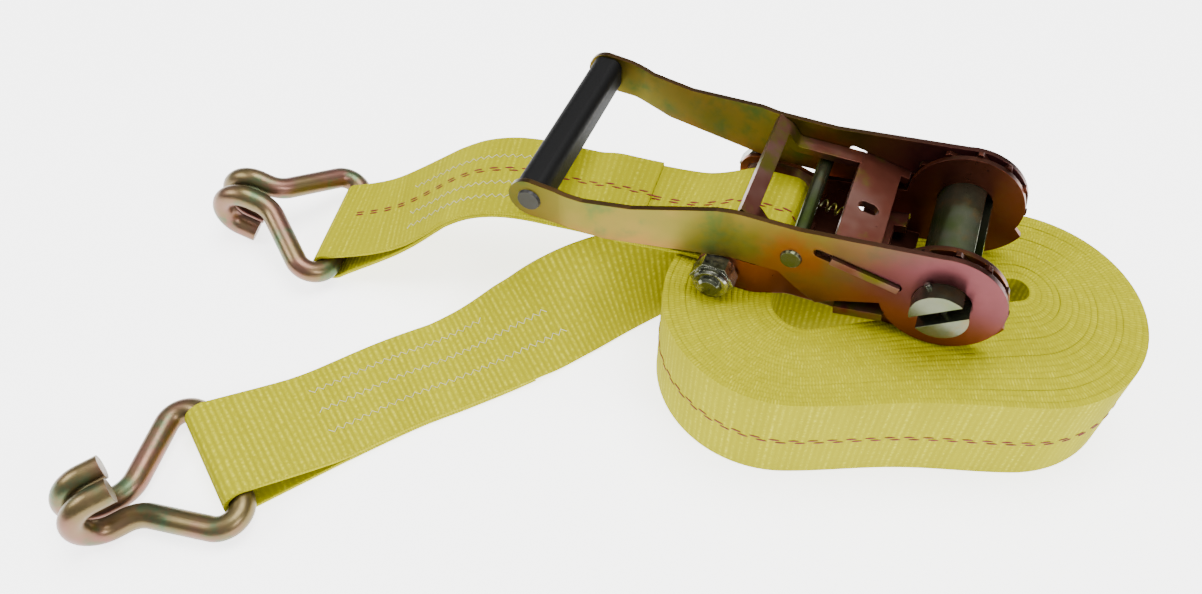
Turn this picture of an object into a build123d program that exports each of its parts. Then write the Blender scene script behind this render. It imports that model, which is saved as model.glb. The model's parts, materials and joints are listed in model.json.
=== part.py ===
from build123d import *
from math import asin, atan2, cos, degrees, hypot, radians, sin, tan
import os

# Ratchet tie down: a long strap wound on edge with its wire hook, and on top of the coil
# a wide handle ratchet whose short strap ends in a second wire hook.
# X runs along the ratchet from grip to spool, Y across it, Z up from the floor.

# ---------------------------------------------------------------- driving dimensions (mm)
webbing_width = 50.8
webbing_thickness = 1.9
body_gap = 0.3            # air between pieces that move against each other
running_gap = 0.1         # radial air of a turning fit
rest_gap = 0.05           # air under what lies on the floor

spool_x = 130.97          # where the spool stands over the floor
spool_y = 85.0

plate_thickness = 2.4
wheel_thickness = 2.4
layer_gap = 0.35          # air between base plate, wheel and handle plate
webbing_side_gap = 0.6

base_drop = 26.3          # spool axis to the underside of the base
hub_radius = 24.2         # base plates round the spool, above
lobe_radius = 28.5        # base plates below and behind the spool
lobe_start = -21.0        # degrees round the spool where the lobe begins
bolt_x, bolt_z = -90.5, -17.5
bolt_radius = 5.0
bolt_lobe_radius = base_drop + bolt_z
base_flare = 5.0          # how far each base plate spreads at the bolt
base_flare_start, base_flare_end = -60.0, -74.0
nut_across_flats = 17.0
nut_height = 9.5
bolt_head_height = 6.4
washer_thickness = 1.2
washer_radius = 8.3
bolt_end = 2.2
floor_start, floor_end = -60.0, -13.0
floor_tab_height = 9.5
floor_tab_width = 16.0

spool_radius = 11.4
spool_slot = 6.0
spool_slot_turn = 38.0
spool_end = 5.0           # spool beyond its cotter pins
cotter_radius = 1.2
cotter_overhang = 1.6
tooth_count = 12
wheel_tip_radius = 25.2
wheel_root_radius = 20.6

handle_end_radius = 24.6
arm_top, arm_neck_top = 17.5, 11.5
arm_bottom = -8.2
grip_x, grip_z = -171.0, 6.0
grip_end_radius = 9.5
flare = 13.0              # how far each arm spreads towards the grip
flare_start, flare_end = grip_x / 2, grip_x + 16.0
grip_rod_radius = 4.0
grip_width, grip_height = 13.5, 16.5
grip_corner = 4.5
grip_washer_radius = 6.4
cross_rod_x, cross_rod_z = -61.0, 1.5
cross_rod_radius = 3.3
rivet_head_radius = 4.6
rivet_head_height = 1.3

pawl_slope = 12.0
pawl_offset = -2.2        # the pawl's plane passes this far above the spool axis
pawl_thickness = 3.2
pawl_front = -25.7
pawl_ear_rear, pawl_ear_front = -46.5, -17.6
pawl_travel = 6.5
slot_gap = 0.5
slot_end_gap = 1.1        # more at the slot's round ends
pawl_web_rear, pawl_web_front = -48.0, -29.5
pawl_arm_width = 7.5
pawl_hole = 6.0
# side view of the pawl's arms, from the web back and up to the finger bar
finger_bar_front, finger_bar_rear = (-79.5, 13.6), (-85.6, 16.9)
arm_level, arm_bend_x, arm_bend_radius = 7.8, -75.0, 4.0
spring_tab_drop = 9.0
pawl_spring_radius = 2.6
spring_wire_radius = 0.45

lock_slope = 10.0
lock_x, lock_z = -19.7, -16.4
lock_length = 20.0
lock_thickness = 4.0
lock_travel = 4.5
ear_reach = 1.6           # how far both pawls stand out of the handle plates
lock_spring_radius = 2.4

coil_length, coil_depth = 203.5, 105.0
# the coil's eye, wide at its left end and narrow at its right, as (x, y, radius)
eye_left, eye_right = (-41.5, 0.0, 14.5), (50.5, 6.5, 5.0)
coil_dip = 1.5
coil_turn = 22.0
coil_x, coil_y = -13.0, -14.4

wire_radius = 5.25
loop_gap = 1.0            # slack between a hook's wire and its sewn loop
eye_straight = webbing_width / 2 - 2.4    # straight half of the eye bar
eye_corner_radius = 9.0
hook_length = 48.0        # eye bar to the start of the curl
curl_radius = 11.5
curl_spacing = 6.2
curl_straight = 10.0
tip_length = 8.0
leg_bend_radius = 14.0

# ---------------------------------------------------------------- worked out from those
spool_z = webbing_width + body_gap + base_drop
base_inner = webbing_width / 2 + webbing_side_gap
base_outer = base_inner + plate_thickness
wheel_inner = base_outer + layer_gap
wheel_outer = wheel_inner + wheel_thickness
handle_inner = wheel_outer + layer_gap
handle_outer = handle_inner + plate_thickness
ear_end = handle_outer + ear_reach
loop_inner = wire_radius + loop_gap
loop_outer = loop_inner + webbing_thickness
double_thickness = 2 * webbing_thickness
bar_z = loop_outer + rest_gap
side = Plane(origin=(spool_x, spool_y, spool_z), x_dir=(1, 0, 0), z_dir=(0, -1, 0))
sides = (("front", 1), ("back", -1))

os.makedirs("parts", exist_ok=True)


def spot(x, y, z):
    """A point given from the spool's place on the floor."""
    return Vector(spool_x + x, spool_y + y, z)


def save(builder, name):
    builder.part.label = name
    export_step(builder.part, f"parts/{name}.step")


def on_circle(radius, angle):
    return radius * cos(radians(angle)), radius * sin(radians(angle))


def layer(sign, inner, outer):
    """Side plane halfway between two distances from the middle, and half their gap."""
    return side.offset(sign * (inner + outer) / 2), (outer - inner) / 2


def sloped_plane(slope, x, z, depth=0.0):
    """Plane whose X runs down the slope towards the spool and whose normal is across it."""
    run = Vector(cos(radians(slope)), 0, sin(radians(slope)))
    return Plane(origin=(spool_x + x, spool_y - depth, spool_z + z), x_dir=run, z_dir=(0, -1, 0))


# ---------------------------------------------------------------- ratchet base
drive_plane = sloped_plane(-pawl_slope, 0, pawl_offset)
lock_plane = sloped_plane(lock_slope, lock_x, lock_z)
lock_slot_length = lock_length + lock_travel + 2 * slot_gap

with BuildPart() as base_frame:
    for _, sign in sides:
        sheet_middle = -sign * (base_inner + base_outer) / 2
        # the bent sheet seen from above, as tall as the plate
        with BuildSketch(Plane(origin=(spool_x, spool_y, spool_z - base_drop))):
            with BuildLine():
                FilletPolyline((lobe_radius + 1, sheet_middle), (base_flare_start, sheet_middle),
                               (base_flare_end, sheet_middle - sign * base_flare),
                               (bolt_x - bolt_lobe_radius - 1, sheet_middle - sign * base_flare),
                               radius=12)
            trace(line_width=plate_thickness)
        extrude(amount=base_drop + hub_radius + 1)
    # their outline seen from the side
    with BuildSketch(side):
        lobe_foot = (lobe_radius**2 - base_drop**2) ** 0.5
        with BuildLine():
            Polyline((bolt_x, -base_drop), (lobe_foot, -base_drop))
            ThreePointArc((lobe_foot, -base_drop), on_circle(lobe_radius, -40),
                          on_circle(lobe_radius, lobe_start))
            Line(on_circle(lobe_radius, lobe_start), on_circle(hub_radius, lobe_start + 5))
            ThreePointArc(on_circle(hub_radius, lobe_start + 5), on_circle(hub_radius, 90),
                          on_circle(hub_radius, 183))
            Polyline(on_circle(hub_radius, 183), (-40, -4.0), (-58, -6.5), (-66, -9.2), (-76, -9.2),
                     (bolt_x, bolt_z + bolt_lobe_radius))
            ThreePointArc((bolt_x, bolt_z + bolt_lobe_radius),
                          (bolt_x - bolt_lobe_radius, bolt_z), (bolt_x, -base_drop))
        make_face()
        Circle(spool_radius + running_gap, mode=Mode.SUBTRACT)
        with Locations((bolt_x, bolt_z)):
            Circle(bolt_radius + running_gap, mode=Mode.SUBTRACT)
    extrude(amount=base_outer + base_flare + 1, both=True, mode=Mode.INTERSECT)
    # floor between the plates, with the tab that the lock pawl's spring bears on
    with BuildSketch(side):
        with Locations(((floor_start + floor_end) / 2, -base_drop + plate_thickness / 2)):
            Rectangle(floor_end - floor_start, plate_thickness)
    extrude(amount=base_outer, both=True)
    with BuildSketch(side):
        with Locations((floor_start + plate_thickness / 2, -base_drop + floor_tab_height / 2)):
            Rectangle(plate_thickness, floor_tab_height)
    extrude(amount=floor_tab_width / 2, both=True)
    # slots that the lock pawl slides in
    with BuildSketch(lock_plane):
        with Locations(((slot_gap - lock_length - lock_travel - slot_gap) / 2, 0)):
            Rectangle(lock_slot_length, lock_thickness + 2 * slot_gap)
    extrude(amount=base_outer + layer_gap, both=True, mode=Mode.SUBTRACT)
save(base_frame, "base_frame")

bolt_shoulder = base_outer + base_flare
nut_start = bolt_shoulder + washer_thickness
nut_end = nut_start + nut_height
with BuildPart() as anchor_bolt:
    with BuildSketch(side.offset(nut_end + bolt_end)):
        with Locations((bolt_x, bolt_z)):
            Circle(bolt_radius)
    extrude(amount=-(nut_end + bolt_end + bolt_shoulder))
    chamfer(anchor_bolt.faces().sort_by(Axis.Y)[0].edges(), 1.0)
    with BuildSketch(side.offset(-bolt_shoulder)):
        with Locations((bolt_x, bolt_z)):
            RegularPolygon(nut_across_flats / 2, 6, major_radius=False)
    extrude(amount=-bolt_head_height)
save(anchor_bolt, "anchor_bolt")

with BuildPart() as anchor_washer:
    with BuildSketch(side.offset(bolt_shoulder)):
        with Locations((bolt_x, bolt_z)):
            Circle(washer_radius)
            Circle(bolt_radius + running_gap, mode=Mode.SUBTRACT)
    extrude(amount=washer_thickness)
save(anchor_washer, "anchor_washer")

with BuildPart() as anchor_nut:
    with BuildSketch(side.offset(nut_start)):
        with Locations((bolt_x, bolt_z)):
            RegularPolygon(nut_across_flats / 2, 6, major_radius=False)
            Circle(bolt_radius, mode=Mode.SUBTRACT)
    extrude(amount=nut_height * 0.72)
    with BuildSketch(side.offset(nut_start + nut_height * 0.72)):
        with Locations((bolt_x, bolt_z)):
            Circle(nut_across_flats / 2 - 0.6)
            Circle(bolt_radius, mode=Mode.SUBTRACT)
    extrude(amount=nut_height * 0.28)
    chamfer(anchor_nut.faces().sort_by(Axis.Y)[0].edges().sort_by(SortBy.LENGTH)[-1], 0.8)
save(anchor_nut, "anchor_nut")

# ---------------------------------------------------------------- spool
slot_plane = Plane(origin=side.origin, x_dir=(cos(radians(spool_slot_turn)), 0,
                                              sin(radians(spool_slot_turn))), z_dir=(0, -1, 0))
cotter_depth = handle_outer + body_gap + cotter_radius
spool_half_length = cotter_depth + cotter_radius + spool_end
cotter_plane = Plane(origin=side.origin, x_dir=(0, -1, 0), z_dir=slot_plane.y_dir)

for half_name, half_sign in (("upper", 1), ("lower", -1)):
    with BuildPart() as spool_half:
        with BuildSketch(slot_plane):
            Circle(spool_radius)
            with Locations((0, half_sign * spool_slot / 2)):
                Rectangle(2 * spool_radius, 2 * spool_radius, mode=Mode.INTERSECT,
                          align=(Align.CENTER, Align.MIN if half_sign > 0 else Align.MAX))
        extrude(amount=spool_half_length, both=True)
        with BuildSketch(cotter_plane):
            with Locations((cotter_depth, 0), (-cotter_depth, 0)):
                Circle(cotter_radius + running_gap)
        extrude(amount=2 * spool_radius, both=True, mode=Mode.SUBTRACT)
    save(spool_half, f"spool_half_{half_name}")

for side_name, sign in sides:
    wheel_plane, half = layer(sign, wheel_inner, wheel_outer)
    with BuildPart() as ratchet_wheel:
        with BuildSketch(wheel_plane):
            tooth_points = []
            for tooth in range(tooth_count):
                start = tooth * 360 / tooth_count
                tooth_points.append(on_circle(wheel_tip_radius, start))
                tooth_points.append(on_circle(wheel_tip_radius, start + 4))
                tooth_points.append(on_circle(wheel_root_radius, start + 7))
                tooth_points.append(on_circle(wheel_root_radius + 0.6, start + 17))
            with BuildLine():
                Polyline(*tooth_points, close=True)
            make_face()
        extrude(amount=half, both=True)
        with BuildSketch(Plane(origin=wheel_plane.origin, x_dir=slot_plane.x_dir, z_dir=(0, -1, 0))):
            Circle(spool_radius + running_gap)
            Rectangle(4 * spool_radius, spool_slot - 2 * running_gap, mode=Mode.SUBTRACT)
        extrude(amount=half, both=True, mode=Mode.SUBTRACT)
    save(ratchet_wheel, f"ratchet_wheel_{side_name}")

cotter_length = 2 * (spool_radius + cotter_overhang)
with BuildPart() as hub_cotter_pins:
    with BuildSketch(cotter_plane.offset(-cotter_length / 2)):
        with Locations((cotter_depth, 0), (-cotter_depth, 0)):
            Circle(cotter_radius)
    extrude(amount=cotter_length)
save(hub_cotter_pins, "hub_cotter_pins")

# ---------------------------------------------------------------- handle
slot_start = pawl_ear_rear - pawl_travel - slot_end_gap
slot_stop = pawl_ear_front + slot_end_gap
half_lock = lock_thickness / 2 + slot_gap

for side_name, sign in sides:
    plate_middle = -sign * (handle_inner + handle_outer) / 2
    with BuildPart() as handle_plate:
        # the bent sheet seen from above, as tall as the plate
        with BuildSketch(Plane(origin=(spool_x, spool_y, spool_z - handle_end_radius - 1))):
            with BuildLine():
                FilletPolyline((handle_end_radius + 1, plate_middle), (flare_start, plate_middle),
                               (flare_end, plate_middle - sign * flare),
                               (grip_x - grip_end_radius - 1, plate_middle - sign * flare),
                               radius=30)
            trace(line_width=plate_thickness)
        extrude(amount=2 * handle_end_radius + 2)
        # its outline seen from the side
        with BuildSketch(side):
            with BuildLine():
                top_start = on_circle(handle_end_radius, 104)
                low_end = on_circle(handle_end_radius, 203)
                ThreePointArc(top_start, on_circle(handle_end_radius, 0), on_circle(handle_end_radius, -90))
                ThreePointArc(on_circle(handle_end_radius, -90), on_circle(handle_end_radius, -120), low_end)
                Polyline(low_end, (-42.0, -17.0), (-47.0, -20.6), (-56.0, -15.4), (-65.0, arm_bottom),
                         (grip_x + 33.0, arm_bottom), (grip_x + 14.0, grip_z - grip_end_radius - 0.6),
                         (grip_x, grip_z - grip_end_radius))
                ThreePointArc((grip_x, grip_z - grip_end_radius), (grip_x - grip_end_radius, grip_z),
                              (grip_x, grip_z + grip_end_radius))
                Polyline((grip_x, grip_z + grip_end_radius), (grip_x + 11.0, grip_z + grip_end_radius - 1.2),
                         (grip_x + 23.0, arm_neck_top), (grip_x + 43.0, arm_neck_top), (-94.0, arm_top),
                         (-60.0, arm_top), top_start)
            make_face()
        extrude(amount=handle_outer + flare + 1, both=True, mode=Mode.INTERSECT)
        with BuildSketch(side):
            Circle(spool_radius + running_gap)
            with Locations((cross_rod_x, cross_rod_z)):
                Circle(cross_rod_radius + running_gap)
            with Locations((grip_x, grip_z)):
                Circle(grip_rod_radius + running_gap)
        extrude(amount=handle_outer + flare + 1, both=True, mode=Mode.SUBTRACT)
        with BuildSketch(drive_plane):
            with Locations(((slot_start + slot_stop) / 2, 0)):
                SlotOverall(slot_stop - slot_start, pawl_thickness + 2 * slot_gap)
        extrude(amount=handle_outer + 1, both=True, mode=Mode.SUBTRACT)
        with BuildSketch(lock_plane):
            with Locations((-lock_length / 2, 0)):
                Rectangle(lock_length + 2 * slot_gap, 2 * half_lock)
        extrude(amount=handle_outer + 1, both=True, mode=Mode.SUBTRACT)
    save(handle_plate, f"handle_plate_{side_name}")


def rivet(name, x, z, radius, reach, head_radius, head_height):
    with BuildPart() as rod:
        with BuildSketch(side):
            with Locations((x, z)):
                Circle(radius)
        extrude(amount=reach, both=True)
        for _, sign in sides:
            with BuildSketch(side.offset(sign * reach)):
                with Locations((x, z)):
                    Circle(head_radius)
            extrude(amount=sign * head_height, taper=20)
    save(rod, name)


rivet("handle_cross_rod", cross_rod_x, cross_rod_z, cross_rod_radius, handle_outer,
      rivet_head_radius, rivet_head_height)
grip_reach = handle_outer + flare
rivet("grip_rod", grip_x, grip_z, grip_rod_radius, grip_reach, grip_washer_radius - 1.2,
      rivet_head_height)

with BuildPart() as grip_sleeve:
    with BuildSketch(side):
        with Locations((grip_x, grip_z)):
            RectangleRounded(grip_width, grip_height, grip_corner)
            Circle(grip_rod_radius + running_gap, mode=Mode.SUBTRACT)
    extrude(amount=grip_reach - plate_thickness - 0.2, both=True)
save(grip_sleeve, "grip_sleeve")

# ---------------------------------------------------------------- pawls
pawl_half_width = handle_inner - body_gap
window_half = pawl_half_width - pawl_arm_width
flat_pawl = Plane(origin=drive_plane.origin, x_dir=drive_plane.x_dir, z_dir=drive_plane.y_dir)
with BuildPart() as drive_pawl:
    with BuildSketch(flat_pawl.offset(-pawl_thickness / 2)):
        with Locations(((pawl_web_rear + pawl_front) / 2, 0)):
            Rectangle(pawl_front - pawl_web_rear, 2 * pawl_half_width)
        with Locations((pawl_web_front, 0)):
            Rectangle(pawl_half_width, 2 * window_half + 6, mode=Mode.SUBTRACT,
                      align=(Align.MIN, Align.CENTER))
        for _, sign in sides:
            with Locations(((pawl_ear_rear + pawl_ear_front) / 2, sign * (pawl_half_width + ear_end) / 2)):
                Rectangle(pawl_ear_front - pawl_ear_rear, ear_end - pawl_half_width)
        with Locations(((pawl_web_rear + pawl_web_front) / 2, 0)):
            SlotOverall(pawl_hole + 3, pawl_hole, mode=Mode.SUBTRACT)
    extrude(amount=pawl_thickness)
    # arms that run back level and turn up to the finger bar between them
    for _, sign in sides:
        arm_side, half = layer(sign, window_half, pawl_half_width)
        with BuildSketch(arm_side):
            with BuildLine():
                FilletPolyline((pawl_web_rear + 2, arm_level), (arm_bend_x, arm_level), finger_bar_front,
                               finger_bar_rear, radius=arm_bend_radius)
            trace(line_width=pawl_thickness)
        extrude(amount=half, both=True)
    with BuildSketch(side):
        with BuildLine():
            Line(finger_bar_front, finger_bar_rear)
        trace(line_width=pawl_thickness)
    extrude(amount=window_half + 1, both=True)
    # tab under the web that the spring pushes on
    with BuildSketch(drive_plane):
        with Locations((pawl_web_front - pawl_thickness / 2, -spring_tab_drop / 2)):
            Rectangle(pawl_thickness, spring_tab_drop)
    extrude(amount=pawl_spring_radius + 2, both=True)
save(drive_pawl, "drive_pawl")

flat_lock = Plane(origin=lock_plane.origin, x_dir=lock_plane.x_dir, z_dir=lock_plane.y_dir)
with BuildPart() as lock_pawl:
    with BuildSketch(flat_lock.offset(-lock_thickness / 2)):
        with Locations((0, 0)):
            Rectangle(lock_length, 2 * ear_end, align=(Align.MAX, Align.CENTER))
        with Locations((0, 0)):
            Rectangle(5, 2 * (base_inner - 8), align=(Align.MAX, Align.CENTER), mode=Mode.SUBTRACT)
    extrude(amount=lock_thickness)
save(lock_pawl, "lock_pawl")

# ---------------------------------------------------------------- springs
spring_turns = 6


def coil_spring(name, start, direction, length, radius):
    """Compression spring with its axis from start along direction."""
    wire_path_height = length - 2 * spring_wire_radius
    axis_plane = Plane(origin=start + direction * spring_wire_radius, z_dir=direction)
    helix = axis_plane.location * Helix(pitch=wire_path_height / spring_turns, height=wire_path_height,
                                        radius=radius - spring_wire_radius)
    with BuildPart() as spring:
        with BuildSketch(Plane(origin=helix @ 0, z_dir=helix % 0)):
            Circle(spring_wire_radius)
        sweep(path=helix, is_frenet=True)
    save(spring, name)


spring_drop = (spring_tab_drop + pawl_thickness / 2) / 2 + 1.5
tab_rear = pawl_web_front - pawl_thickness
tab_face = drive_plane.from_local_coords((tab_rear, -spring_drop, 0))
uphill = -drive_plane.x_dir
rod_centre = spot(cross_rod_x, 0, spool_z + cross_rod_z)
drive_spring_length = (rod_centre - tab_face).dot(uphill) - cross_rod_radius - 0.4
coil_spring("drive_pawl_spring", tab_face + uphill * 0.2, uphill, drive_spring_length,
            pawl_spring_radius)

lock_rear = lock_plane.from_local_coords((-lock_length, 0, 0))
lock_spring_start = spot(floor_start + plate_thickness + 0.1, 0, spool_z - base_drop + plate_thickness
                         + lock_spring_radius + 0.3)
lock_spring_length = lock_rear.X - lock_spring_start.X - lock_thickness / 2 * sin(radians(lock_slope)) - 0.3
coil_spring("lock_pawl_spring", lock_spring_start, Vector(1, 0, 0), lock_spring_length,
            lock_spring_radius)


# ---------------------------------------------------------------- webbing
def band(name, stations, thicknesses):
    """Webbing lofted through stations of (middle, width direction, travel direction)."""
    with BuildPart() as webbing:
        for (middle, across, along), thickness in zip(stations, thicknesses):
            with BuildSketch(Plane(origin=middle, x_dir=across, z_dir=along)):
                Rectangle(webbing_width, thickness)
        loft(ruled=True)
    save(webbing, name)


def sewn_loop(name, plane, inner, apex, apex_slope, hole_end):
    """Webbing wrapped round a bar at the plane's origin and closed at its apex."""
    with BuildPart() as loop:
        with BuildSketch(plane):
            Circle(inner + webbing_thickness)
            with Locations(Location(apex, apex_slope)):
                Rectangle(0.2, double_thickness, align=(Align.MAX, Align.CENTER))
            make_hull()
        extrude(amount=webbing_width / 2, both=True)
        with BuildSketch(plane):
            Circle(inner)
            with Locations((apex[0] * hole_end, apex[1] * hole_end)):
                Circle(0.25)
            make_hull()
        extrude(amount=webbing_width, both=True, mode=Mode.SUBTRACT)
    save(loop, name)


# long strap: wound on edge, tied into one closed ring
coil_plane = Plane(origin=spot(coil_x, coil_y, 0), x_dir=(cos(radians(coil_turn)),
                                                          sin(radians(coil_turn)), 0))
coil_radius = coil_depth / 2
coil_straight = (coil_length - coil_depth) / 2
with BuildPart() as long_strap_coil:
    with BuildSketch(coil_plane):
        with BuildLine():
            Line((coil_straight, coil_radius), (-coil_straight, coil_radius))
            ThreePointArc((-coil_straight, coil_radius), (-coil_length / 2, 0),
                          (-coil_straight, -coil_radius))
            ThreePointArc((-coil_straight, -coil_radius), (-coil_straight / 3, coil_dip - coil_radius),
                          (coil_straight, -coil_radius))
            ThreePointArc((coil_straight, -coil_radius), (coil_length / 2, 0),
                          (coil_straight, coil_radius))
        make_face()
    extrude(amount=webbing_width)
    with BuildSketch(coil_plane):
        for x, y, radius in (eye_left, eye_right):
            with Locations((x, y)):
                Circle(radius)
        make_hull()
    extrude(amount=webbing_width, mode=Mode.SUBTRACT)
save(long_strap_coil, "long_strap_coil")

# long strap: the run that leaves the coil upright and lies down towards the hook
exit_turn = 233.0
left_middle = coil_plane.from_local_coords((-coil_straight, 0, 0))
exit_heading = Vector(cos(radians(exit_turn)), sin(radians(exit_turn)), 0)
exit_out = Vector(exit_heading.Y, -exit_heading.X, 0)
exit_point = left_middle + exit_out * (coil_radius + webbing_thickness / 2 + 0.03)
long_hook_turn = 234.0
long_bar = spot(-262.5, -169.0, bar_z)
long_loop_length = 42.0
long_back = Vector(-cos(radians(long_hook_turn)), -sin(radians(long_hook_turn)), 0)
long_apex = long_bar + long_back * long_loop_length
# lower edge of the run in plan, and how far the webbing leans from flat (degrees)
run_edge = ((-111.4, -11.9, 84), (-119.5, -23.5, 72), (-128.5, -37.0, 56), (-138.5, -53.0, 38),
            (-149.5, -69.0, 21), (-163.0, -86.0, 7), (-179.0, -104.0, 0), (-196.0, -122.5, 0))


def run_station(x, y, heading, lean):
    out = Vector(heading.Y, -heading.X, 0)
    across = out * cos(radians(lean)) + Vector(0, 0, sin(radians(lean)))
    foot = Vector(x, y, webbing_thickness / 2 * cos(radians(lean)) + rest_gap)
    return foot + across * (webbing_width / 2), across, heading


edge_points = [exit_point] + [spot(x, y, 0) for x, y, _ in run_edge]
apex_out = Vector(-long_back.Y, long_back.X, 0)
edge_points.append(long_apex - apex_out * (webbing_width / 2))
leans = [90] + [lean for _, _, lean in run_edge]
run_stations = []
for index, lean in enumerate(leans):
    before = edge_points[max(index - 1, 0)]
    after = edge_points[index + 1]
    heading = exit_heading if index == 0 else Vector(after.X - before.X, after.Y - before.Y, 0).normalized()
    point = edge_points[index]
    run_stations.append(run_station(point.X, point.Y, heading, lean))
band("long_strap_run", run_stations, [webbing_thickness] * len(run_stations))

sewn_start, sewn_across, sewn_heading = run_stations[-1]
lift = Vector(0, 0, webbing_thickness / 2)
end_middle = Vector(long_apex.X, long_apex.Y, webbing_thickness + rest_gap)
middle_point = (sewn_start + lift + end_middle) / 2
middle_heading = (sewn_heading - long_back).normalized()
middle_across = Vector(middle_heading.Y, -middle_heading.X, 0)
band("long_strap_sewn_end",
     ((sewn_start + lift, sewn_across, sewn_heading), (middle_point, middle_across, middle_heading),
      (end_middle, Vector(-long_back.Y, long_back.X, 0), -long_back)), [double_thickness] * 3)

long_loop_plane = Plane(origin=long_bar, x_dir=long_back, z_dir=Vector(long_back.Y, -long_back.X, 0))
sewn_loop("long_strap_hook_loop", long_loop_plane, loop_inner,
          (long_loop_length, end_middle.Z - bar_z), 0, 0.86)

# short strap: from the anchor bolt under the handle and down to its own hook
short_hook_turn = 191.0
short_bar = spot(-282.0, -35.0, bar_z)
short_back = Vector(-cos(radians(short_hook_turn)), -sin(radians(short_hook_turn)), 0)
short_apex_run, short_apex_rise, short_apex_slope = 31.0, 15.5, 38.0
short_apex = short_bar + short_back * short_apex_run + Vector(0, 0, short_apex_rise)
bolt_point = spot(bolt_x, 0, spool_z + bolt_z)
bolt_loop_inner = bolt_radius + 0.4
bolt_loop_slack = (18.0, 0.6)
bolt_apex = (-19.0, -5.6)
# the short strap's middle line, heights above the top of the coil
short_route = ((-109.5, 0, 3.5), (-125, 0, 1.2), (-140, -1, 0.7), (-156, -3, 1.7),
               (-172, -6.4, 3.8), (-188, -9.7, 5.4), (-201, -12.6, 4.8), (-213, -15.4, 1.4),
               (-224, -18.2, -4.8), (-233, -20.8, -11.8), (-242, -23.6, -19.2))
route_points = [spot(x, y, webbing_width + z) for x, y, z in short_route] + [short_apex]
short_stations = []
for index, point in enumerate(route_points):
    before = route_points[max(index - 1, 0)]
    after = route_points[min(index + 1, len(route_points) - 1)]
    along = (after - before).normalized()
    if index == len(route_points) - 1:
        slope = radians(short_apex_slope)
        along = short_back * -cos(slope) + Vector(0, 0, -sin(slope))
    flat = Vector(along.X, along.Y, 0).normalized()
    short_stations.append((point, Vector(-flat.Y, flat.X, 0), along))
band("short_strap_run", short_stations, [double_thickness] * len(short_stations))

short_loop_plane = Plane(origin=short_bar, x_dir=short_back,
                         z_dir=Vector(short_back.Y, -short_back.X, 0))
sewn_loop("short_strap_hook_loop", short_loop_plane, loop_inner,
          (short_apex_run, short_apex_rise), short_apex_slope, 0.86)
bolt_loop_plane = Plane(origin=bolt_point, x_dir=(1, 0, 0), z_dir=(0, -1, 0))
first_along = short_stations[0][2]
bolt_apex_slope = degrees(atan2(-first_along.Z, -first_along.X))
with BuildPart() as short_strap_bolt_loop:
    with BuildSketch(bolt_loop_plane):
        with Locations((0, 0), bolt_loop_slack):
            Circle(bolt_loop_inner + webbing_thickness)
        with Locations(Location((bolt_apex[0], bolt_apex[1]), bolt_apex_slope)):
            Rectangle(0.2, double_thickness, align=(Align.MIN, Align.CENTER))
        make_hull()
    extrude(amount=webbing_width / 2, both=True)
    with BuildSketch(bolt_loop_plane):
        with Locations((0, 0), bolt_loop_slack):
            Circle(bolt_loop_inner)
        make_hull()
    extrude(amount=webbing_width, both=True, mode=Mode.SUBTRACT)
save(short_strap_bolt_loop, "short_strap_bolt_loop")


# ---------------------------------------------------------------- wire hooks
def eye_corner():
    """Where the lines of the eye bar and a leg meet, so that the bar stays straight long enough."""
    corner = eye_straight + eye_corner_radius
    for _ in range(30):
        turn = 90 + degrees(atan2(corner - curl_spacing, hook_length - curl_straight))
        corner = eye_straight + eye_corner_radius * tan(radians(turn / 2))
    return corner


def wire_hook(name, bar, turn, pitch, flip):
    """Double J hook from one wire; its eye bar lies on the given point."""
    local = Location(bar) * Location((0, 0, 0), (0, 0, turn)) * Location((0, 0, 0), (0, pitch, 0))
    if flip:
        local = local * Location((0, 0, 0), (180, 0, 0))
    with BuildPart() as hook:
        with BuildLine() as wire:
            FilletPolyline((0, 0, 0), (0, eye_corner(), 0), (hook_length - curl_straight, curl_spacing, 0),
                           (hook_length, curl_spacing, 0), radius=(eye_corner_radius, leg_bend_radius))
            ThreePointArc((hook_length, curl_spacing, 0),
                          (hook_length + curl_radius, curl_spacing, curl_radius),
                          (hook_length, curl_spacing, 2 * curl_radius))
            Line((hook_length, curl_spacing, 2 * curl_radius),
                 (hook_length - tip_length, curl_spacing, 2 * curl_radius))
        with BuildSketch(Plane(origin=wire.line @ 0, z_dir=wire.line % 0)):
            Circle(wire_radius)
        sweep()
        mirror(about=Plane.XZ)
    hook.part = local * hook.part
    save(hook, name)


lying_pitch = degrees(asin((bar_z - wire_radius - rest_gap) / hook_length))
wire_hook("long_strap_hook", long_bar, long_hook_turn, lying_pitch, False)
tip_run, tip_drop = hook_length - tip_length, 2 * curl_radius + wire_radius
standing_pitch = degrees(atan2(tip_drop, tip_run) - asin((bar_z - rest_gap) / hypot(tip_run, tip_drop)))
wire_hook("short_strap_hook", short_bar, short_hook_turn, -standing_pitch, True)
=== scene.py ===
import json
import math
import random
import bpy
from mathutils import Matrix, Vector


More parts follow.
